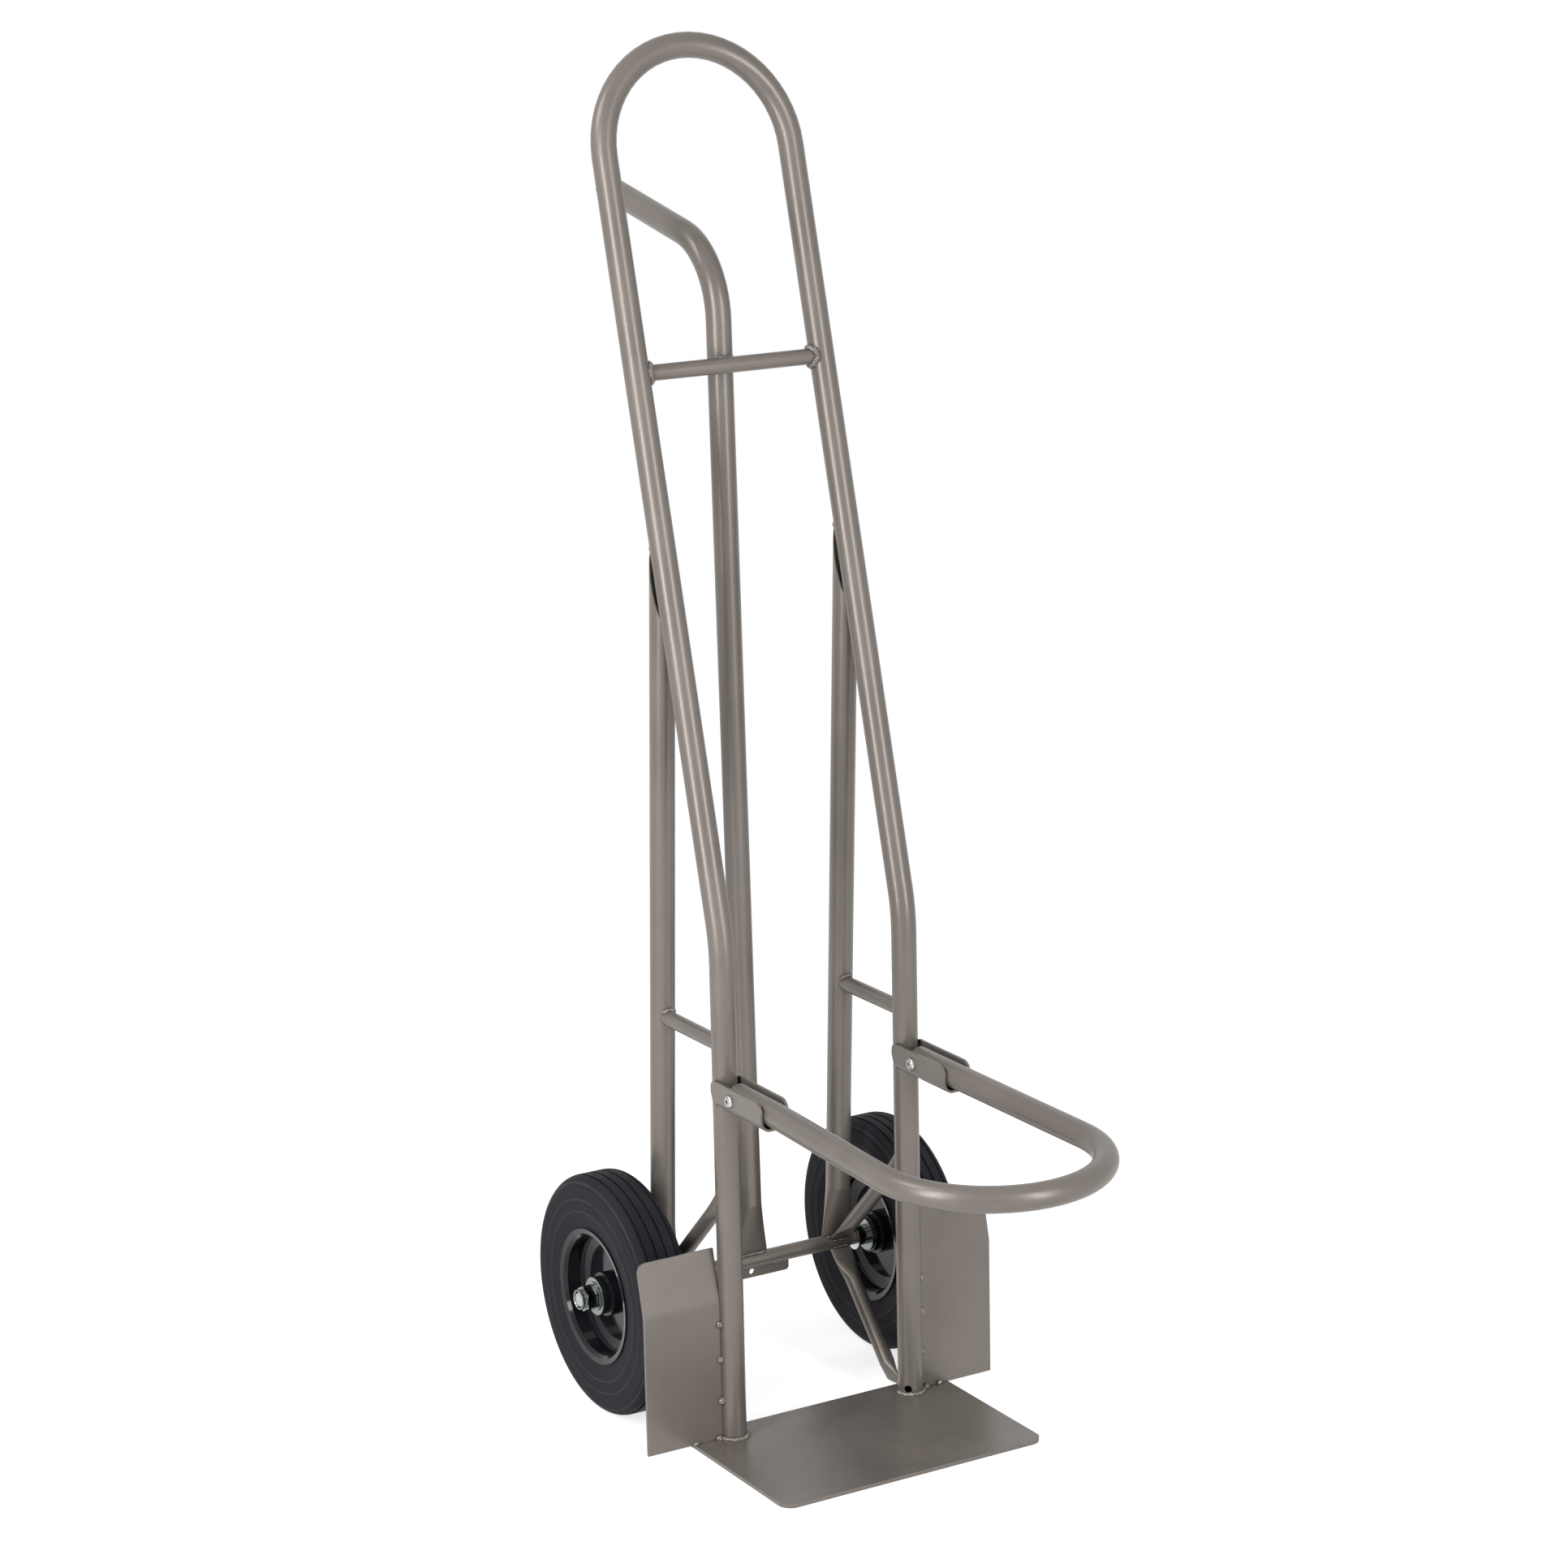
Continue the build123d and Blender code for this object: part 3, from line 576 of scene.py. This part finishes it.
strut_side = 3.0 * MM
head_top = 264 * MM
head_length = 31 * MM
head_y = rail_rear - 0.2 * MM
foot_line = [rail_rear + 2 * MM, (rail_rear + toe_high.y) / 2, toe_high.y - MM]
for side in (-1, 1):
    x = rail_x + side * strut_side
    head = [Vector((x, head_y, head_top - head_length * i / 6)) for i in range(7)]
    add_bead(head, 1.6 * MM, both_sides=True)

bracket_low, bracket_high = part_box("fork_bracket_right")
flange_x = (bracket_high.x - bracket_low.x) / 2 - 1.6 * MM
bracket_inset = 0.6 * MM
seam_start = (bracket_high.y - 5.5 * MM, bracket_low.z + 2 * MM)
seam_run = (4.5 * MM, 11 * MM)
for side in (-1, 1):
    x = rail_x + side * (flange_x - bracket_inset)
    seam_places = [[start + run * i / 3 for start, run in zip(seam_start, seam_run)] for i in range(4)]
    add_bead([Vector((x, y, z)) for y, z in seam_places], 2.0 * MM, both_sides=True)

tab_low, tab_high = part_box("axle_tab")
tab_y = (tab_high.y - tab_low.y) / 2 + 0.7 * MM
tab_z = axle_middle.z - sqrt(rod_radius**2 - tab_y**2)
tab_stretches = ((-42, -26), (-8, 8), (26, 42))
for start, end in tab_stretches:
    for side in (-1, 1):
        stretch = [x * MM for x in (start, (start + end) / 2, end)]
        add_bead([Vector((x, axle_middle.y + side * tab_y, tab_z)) for x in stretch], 1.5 * MM)

for side in (-1, 1):
    x = rail_x + side * strut_side
    add_bead([Vector((x, y, toe_high.z + seam_rise)) for y in foot_line], 1.8 * MM, both_sides=True)
print("beads in all:", len(beads))

# %% [markdown]
# The tree reads a mesh of plain edges with a bead size on each point.
# It resamples each line, sweeps a circle along it whose size ripples and dies away at the ends,
# and roughens the skin a little. Its named inputs are the step between rings, the length and
# depth of a ripple, and the depth and seed of the roughness.

# %% Geometry Nodes: from lines to rippled beads
def geometry_group(name, inputs):
    """A Geometry Nodes group with a Geometry input and output and more named inputs."""
    sockets = [("Geometry", "NodeSocketGeometry", None)] + inputs
    return new_group(name, "GeometryNodeTree", sockets, [("Geometry", "NodeSocketGeometry")])


def roughen(group, mesh, cells, depth, seed):
    """Move a mesh's points along their normals by seeded noise."""
    settings = {"noise_dimensions": "4D"}
    bumps = put(group, "ShaderNodeTexNoise", settings, W=seed, Scale=cells, Detail=2.0).outputs["Fac"]
    amount = calc(group, "MULTIPLY", calc(group, "SUBTRACT", bumps, 0.5), depth)
    normal = group.nodes.new("GeometryNodeInputNormal").outputs["Normal"]
    offset = vector_calc(group, "SCALE", Vector=normal, Scale=amount)["Vector"]
    return put(group, "GeometryNodeSetPosition", Geometry=mesh, Offset=offset).outputs["Geometry"]


def bead_size_of(group):
    """The size that each point of the input carries."""
    stored = put(group, "GeometryNodeInputNamedAttribute", {"data_type": "FLOAT"}, Name="bead_size")
    return [s for s in stored.outputs if s.enabled and s.type == "VALUE"][0]


def finish_tree(group, mesh, material):
    """Smooth shading and the material, as the tree's end."""
    smooth = put(group, "GeometryNodeSetShadeSmooth", Geometry=mesh).outputs["Geometry"]
    dressed = put(group, "GeometryNodeSetMaterial", Geometry=smooth, Material=material)
    put(group, "NodeGroupOutput", Geometry=dressed.outputs["Geometry"])


def bead_tree():
    """Sweep a rippled circle along each line, and roughen its skin."""
    group = geometry_group(
        "rippled_bead",
        [
            ("Step", "NodeSocketFloat", 0.0005),
            ("Ripple Length", "NodeSocketFloat", 0.0022),
            ("Ripple Depth", "NodeSocketFloat", 0.3),
            ("Roughness Depth", "NodeSocketFloat", 0.0018),
            ("Seed", "NodeSocketFloat", 3.0),
            ("Finish", "NodeSocketMaterial", None),
        ],
    )
    given = group.nodes.new("NodeGroupInput").outputs
    lines = put(group, "GeometryNodeMeshToCurve", Mesh=given["Geometry"]).outputs["Curve"]
    by_length = {"mode": "LENGTH"}
    curve = put(group, "GeometryNodeResampleCurve", by_length, Curve=lines, Length=given["Step"])
    size = bead_size_of(group)
    along = group.nodes.new("GeometryNodeSplineParameter").outputs["Length"]
    total = group.nodes.new("GeometryNodeSplineLength").outputs["Length"]
    ripple = calc(group, "FRACT", calc(group, "DIVIDE", along, given["Ripple Length"]))
    dip = calc(group, "MULTIPLY", calc(group, "POWER", ripple, 2.0), given["Ripple Depth"])
    swell = calc(group, "SUBTRACT", 1.0, dip)
    to_end = calc(group, "MINIMUM", along, calc(group, "SUBTRACT", total, along))
    taper = ramp(group, calc(group, "DIVIDE", to_end, size), 0.0, 1.2, start=0.35, smooth=True)
    radius = calc(group, "MULTIPLY", size, calc(group, "MULTIPLY", swell, taper))
    circle = put(group, "GeometryNodeCurvePrimitiveCircle", Resolution=12, Radius=1.0).outputs["Curve"]
    sweep = {"Curve": curve.outputs["Curve"], "Profile_Curve": circle, "Scale": radius, "Fill_Caps": True}
    mesh = put(group, "GeometryNodeCurveToMesh", **sweep).outputs["Mesh"]
    mesh = roughen(group, mesh, 350.0, given["Roughness Depth"], given["Seed"])
    finish_tree(group, mesh, given["Finish"])
    return group


rippled_bead = bead_tree()
print("tree:", rippled_bead.name, "with", len(rippled_bead.nodes), "nodes")

# %% Turn a tree's result into a plain mesh
def set_inputs(modifier, values):
    """Set a Geometry Nodes modifier's inputs by the sockets' identifiers."""
    for item in modifier.node_group.interface.items_tree:
        if item.item_type == "SOCKET" and item.in_out == "INPUT" and item.name in values:
            modifier[item.identifier] = values[item.name]


def grown(name, mesh, group, values):
    """An object whose mesh is what the tree makes of the given mesh."""
    piece = bpy.data.objects.new(name, mesh)
    scene.collection.objects.link(piece)
    modifier = piece.modifiers.new("grow", "NODES")
    modifier.node_group = group
    set_inputs(modifier, values)
    bpy.context.view_layer.update()
    graph = bpy.context.evaluated_depsgraph_get()
    result = bpy.data.meshes.new_from_object(piece.evaluated_get(graph))
    piece.modifiers.remove(modifier)
    piece.data = result
    result.name = name
    return piece


def line_mesh(lines):
    """A mesh of edges from (points, size) pairs, with each point's size as bead_size."""
    points, edges, sizes = [], [], []
    for line, size in lines:
        first = len(points)
        points += [tuple(p) for p in line]
        edges += [(first + i, first + i + 1) for i in range(len(line) - 1)]
        sizes += [size] * len(line)
    mesh = bpy.data.meshes.new("lines")
    mesh.from_pydata(points, edges, [])
    mesh.attributes.new("bead_size", "FLOAT", "POINT").data.foreach_set("value", sizes)
    return mesh


weld_beads = grown("frame_weld_beads", line_mesh(beads), rippled_bead, {"Finish": weld_paint})
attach(weld_beads, "frame")
print("weld beads:", len(weld_beads.data.polygons), "faces")

# %% [markdown]
# ## Tack welds
#
# Each wing plate hangs on three short tacks beside its rail and two on the toe plate, and each
# upright's sharp tip is closed with a drop of weld. A tack is a flat lumpy drop, so one small
# sphere is placed on each point by Geometry Nodes, turned at random with a fixed seed.

# %% Points of the tack welds
tip_line = lean_back.dot(Vector((0, rail_y, hoop_bend_height))) + tube_radius - 0.6 * MM
rear_start = upright_foot + Vector((0, tube_radius / cos(upright_lean), 0))
tip_reach = (tip_line - lean_back.dot(rear_start)) / lean_back.dot(upright_run)
upright_tip = rear_start + upright_run * tip_reach
below_tip = 7 * MM
drop_spot = upright_tip - upright_run * below_tip
drop_left = 2.5 * MM
drop_back = 0.5 * MM
wing_x = rail_x + tube_radius + 0.8 * MM
wing_front = rail_y - 1.2 * MM
wing_tack_heights = (124.8 * MM, 87.9 * MM, 44.2 * MM)

# Each foot tack is its distance from the middle, how far it lies before the wing's front, its
# height over the toe plate and its size, in mm. The left wing's outer tack sits further out.
foot_tacks = {
    -1: ((149, 0.2, 0.8, 3.2), (122.5, 1.2, 1.0, 3.4)),
    1: ((138.8, 0.8, 1.2, 3.0), (122.5, 1.2, 1.0, 3.4)),
}
tacks = []
for side, feet in foot_tacks.items():
    tacks.append((Vector((side * rail_x - drop_left, drop_spot.y + drop_back, drop_spot.z)), 4.7 * MM))
    for z in wing_tack_heights:
        tacks.append((Vector((side * wing_x, wing_front, z)), 4.1 * MM))
    for x, before, above, size in feet:
        spot = Vector((side * x * MM, wing_front - before * MM, toe_high.z + above * MM))
        tacks.append((spot, size * MM))
print("tacks:", len(tacks), "upright tip at", [round(v, 4) for v in upright_tip])

# %% Geometry Nodes: a lumpy drop on every point
def tack_tree():
    """Put a flattened, lumpy ball on each point, and turn it by seeded chance."""
    group = geometry_group(
        "tack_drops",
        [
            ("Flatness", "NodeSocketFloat", 0.8),
            ("Lump Depth", "NodeSocketFloat", 0.0024),
            ("Seed", "NodeSocketInt", 11),
            ("Finish", "NodeSocketMaterial", None),
        ],
    )
    given = group.nodes.new("NodeGroupInput").outputs
    size = bead_size_of(group)
    drop = put(group, "GeometryNodeMeshIcoSphere", Radius=1.0, Subdivisions=4).outputs["Mesh"]
    turn = put(group, "FunctionNodeRandomValue", {"data_type": "FLOAT"}, Seed=given["Seed"])
    least_and_most = [s for s in turn.inputs if s.type == "VALUE" and s.enabled]
    least_and_most[1].default_value = 2 * pi
    spin = [s for s in turn.outputs if s.enabled][0]
    rotation = put(group, "ShaderNodeCombineXYZ", Y=spin).outputs["Vector"]
    flat = calc(group, "MULTIPLY", size, given["Flatness"])
    scale = put(group, "ShaderNodeCombineXYZ", X=size, Y=flat, Z=size).outputs["Vector"]
    spots = put(group, "GeometryNodeMeshToPoints", Mesh=given["Geometry"]).outputs["Points"]
    copies = {"Points": spots, "Instance": drop, "Rotation": rotation, "Scale": scale}
    placed = put(group, "GeometryNodeInstanceOnPoints", **copies).outputs["Instances"]
    real = put(group, "GeometryNodeRealizeInstances", Geometry=placed).outputs["Geometry"]
    finish_tree(group, roughen(group, real, 260.0, given["Lump Depth"], 5.0), given["Finish"])
    return group


tack_points = line_mesh([([spot], size) for spot, size in tacks])
weld_tacks = grown("frame_weld_tacks", tack_points, tack_tree(), {"Finish": weld_paint})
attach(weld_tacks, "frame")
print("weld tacks:", len(weld_tacks.data.polygons), "faces")

# %% [markdown]
# ## Lock nuts
#
# The CAD nuts are plain hexagons. A real nut has its corners turned off to a cone at both ends,
# and a lock nut carries a round collar that grips the thread. We build it as a lathe shape
# whose radius may change with the angle: on the flats the radius follows the hexagon, and
# wherever the cone lies inside the hexagon it wins, which draws the curved edge of each flat.

# %% A lathe that follows a hexagon
chamfer_share = 0.97
chamfer_slope = tan(radians(28))
sharp_from = radians(24)


def hex_reach(angle, across_flats):
    """Distance from a hexagon's middle to its side in the direction of an angle."""
    turn = (angle + pi / 6) % (pi / 3) - pi / 6
    return across_flats / 2 / cos(turn)


def lock_nut_mesh(name, across_flats, hex_height, collar, neck_radius, bore_radius, steps):
    """A nut along +X from X = 0. collar holds the collar's outline as (x, radius) pairs in mm."""
    shell = bmesh.new()
    rings = []
    chamfer_start = across_flats / 2 * chamfer_share
    for i in range(steps):
        angle = 2 * pi * i / steps
        reach = hex_reach(angle, across_flats)
        drop = max(0, reach - chamfer_start) * chamfer_slope
        outline = [(0, bore_radius), (0, chamfer_start), (drop, reach), (hex_height - drop, reach)]
        outline += [(hex_height, chamfer_start), (hex_height, neck_radius)]
        outline += [(x * MM, r * MM) for x, r in collar]
        rings.append([shell.verts.new((x, r * cos(angle), r * sin(angle))) for x, r in outline])
    for i, ring in enumerate(rings):
        following = rings[(i + 1) % steps]
        for j in range(len(ring)):
            k = (j + 1) % len(ring)
            shell.faces.new((ring[j], ring[k], following[k], following[j]))
    bmesh.ops.recalc_face_normals(shell, faces=shell.faces)
    mesh = bpy.data.meshes.new(name)
    shell.to_mesh(mesh)
    shell.free()
    mesh.shade_smooth()
    mesh.set_sharp_from_angle(angle=sharp_from)
    return mesh


def add_nut(name, node, mesh, place, flip, material):
    """Put a nut mesh at its seat, facing +X or -X, in place of a CAD node."""
    turn = Matrix.Rotation(pi, 4, "Z") if flip else Matrix.Identity(4)
    mesh.transform(Matrix.Translation(place) @ turn)
    mesh.materials.append(material)
    piece = bpy.data.objects.new(name, mesh)
    scene.collection.objects.link(piece)
    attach(piece, "frame")
    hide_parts(node)


print("nut maker ready")

# %% Two big lock nuts on the axle, two small ones on the fork's bolts
axle_nut = {
    "across_flats": 23.8 * MM, "hex_height": 12.5 * MM, "neck_radius": 9.6 * MM,
    "bore_radius": rod_radius + 0.05 * MM, "steps": 96,
    "collar": (
        (13.1, 9.3), (13.6, 9.3), (14.2, 10.1), (15.2, 10.5), (16.4, 10.5),
        (17.1, 10.2), (17.5, 9.6), (17.3, 8.9), (16.4, 8.3),
    ),
}
bolt_nut = {
    "across_flats": 11.1 * MM, "hex_height": 3.9 * MM, "neck_radius": 4.7 * MM,
    "bore_radius": 3.2 * MM, "steps": 72,
    "collar": ((4.2, 4.6), (4.9, 4.5), (5.4, 4.1), (5.6, 3.6), (5.3, 3.3)),
}
for side_name, sign in (("left", -1), ("right", 1)):
    low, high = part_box("axle_nut_" + side_name)
    seat = Vector((high.x if sign < 0 else low.x, axle_middle.y, axle_middle.z))
    mesh = lock_nut_mesh("axle_lock_nut", **axle_nut)
    add_nut("axle_lock_nut_" + side_name, "axle_nut_" + side_name, mesh, seat, sign < 0, axle_zinc_shaded)
    low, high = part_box("fork_nut_" + side_name)
    seat = Vector((low.x, (low.y + high.y) / 2, (low.z + high.z) / 2))
    mesh = lock_nut_mesh("fork_lock_nut", **bolt_nut)
    add_nut("fork_lock_nut_" + side_name, "fork_nut_" + side_name, mesh, seat, False, zinc)
print("lock nuts: 4")

# %% [markdown]
# ## Stage and light
#
# The photograph has a white background, and two bright bands run down each leaning tube.
# Those bands are two tall softboxes mirrored in satin paint, one about 42 degrees to each side
# of the camera. A dim one above the left rear lifts the tops of the tubes, and a white floor and
# a soft white world fill the rest.
# By Light Path the camera, metal and glass see the world and the floor as pure white, and no more
# light falls on the object for that.

# %% Floor and world
def seen_as_white(tree):
    """1 for rays from the camera, a mirror or a glass, and 0 for rays that gather light."""
    path = tree.nodes.new("ShaderNodeLightPath").outputs
    mirrored = calc(tree, "MAXIMUM", path["Is Camera Ray"], path["Is Glossy Ray"])
    return calc(tree, "MAXIMUM", mirrored, path["Is Transmission Ray"])


floor_finish = bpy.data.materials.new("floor_white")
floor_finish.use_nodes = True
floor_tree = floor_finish.node_tree
floor_shader = floor_tree.nodes["Principled BSDF"].inputs
floor_shader["Base Color"].default_value = (0.70, 0.70, 0.70, 1)
floor_shader["Roughness"].default_value = 0.9
floor_shader["Emission Color"].default_value = (1, 1, 1, 1)
floor_glow = 0.74
floor_strength = calc(floor_tree, "MULTIPLY", seen_as_white(floor_tree), floor_glow)
floor_tree.links.new(floor_strength, floor_shader["Emission Strength"])

floor_reach = 6.0
floor_mesh = bpy.data.meshes.new("floor")
corner_signs = ((-1, -1), (1, -1), (1, 1), (-1, 1))
floor_corners = [(x * floor_reach, y * floor_reach, 0) for x, y in corner_signs]
floor_mesh.from_pydata(floor_corners, [], [(0, 1, 2, 3)])
floor_mesh.materials.append(floor_finish)
floor = bpy.data.objects.new("floor", floor_mesh)
scene.collection.objects.link(floor)

world = bpy.data.worlds.new("studio")
scene.world = world
world.use_nodes = True
world_tree = world.node_tree
background = world_tree.nodes["Background"].inputs
background["Color"].default_value = (1, 1, 1, 1)
room_light = 0.32
shown_extra = calc(world_tree, "MULTIPLY", seen_as_white(world_tree), 1 - room_light)
world_tree.links.new(calc(world_tree, "ADD", room_light, shown_extra), background["Strength"])
scene.view_settings.view_transform = "Standard"
print("floor", floor_reach * 2, "m wide, room light", room_light)

# %% Two tall softboxes and a dim one from above
aim_back = 0.05
aim_height = 0.9


def softbox(name, turn, distance, height, size, power):
    """A rectangular lamp that stands turn degrees from the front towards the left."""
    data = bpy.data.lights.new(name, "AREA")
    data.shape = "RECTANGLE"
    data.size, data.size_y = size
    data.energy = power
    lamp = bpy.data.objects.new(name, data)
    place = Vector((-sin(radians(turn)) * distance, -cos(radians(turn)) * distance, height))
    aim = Vector((0, aim_back, min(height, aim_height)))
    facing_aim = (place - aim).to_track_quat("Z", "Y").to_matrix().to_4x4()
    lamp.matrix_world = Matrix.Translation(place) @ facing_aim
    scene.collection.objects.link(lamp)


softbox("softbox_left", turn=72, distance=1.8, height=1.2, size=(0.40, 1.6), power=26)
softbox("softbox_right", turn=-12, distance=2.8, height=1.45, size=(0.50, 2.1), power=38)
softbox("softbox_high", turn=112, distance=1.5, height=2.3, size=(0.7, 0.7), power=10)
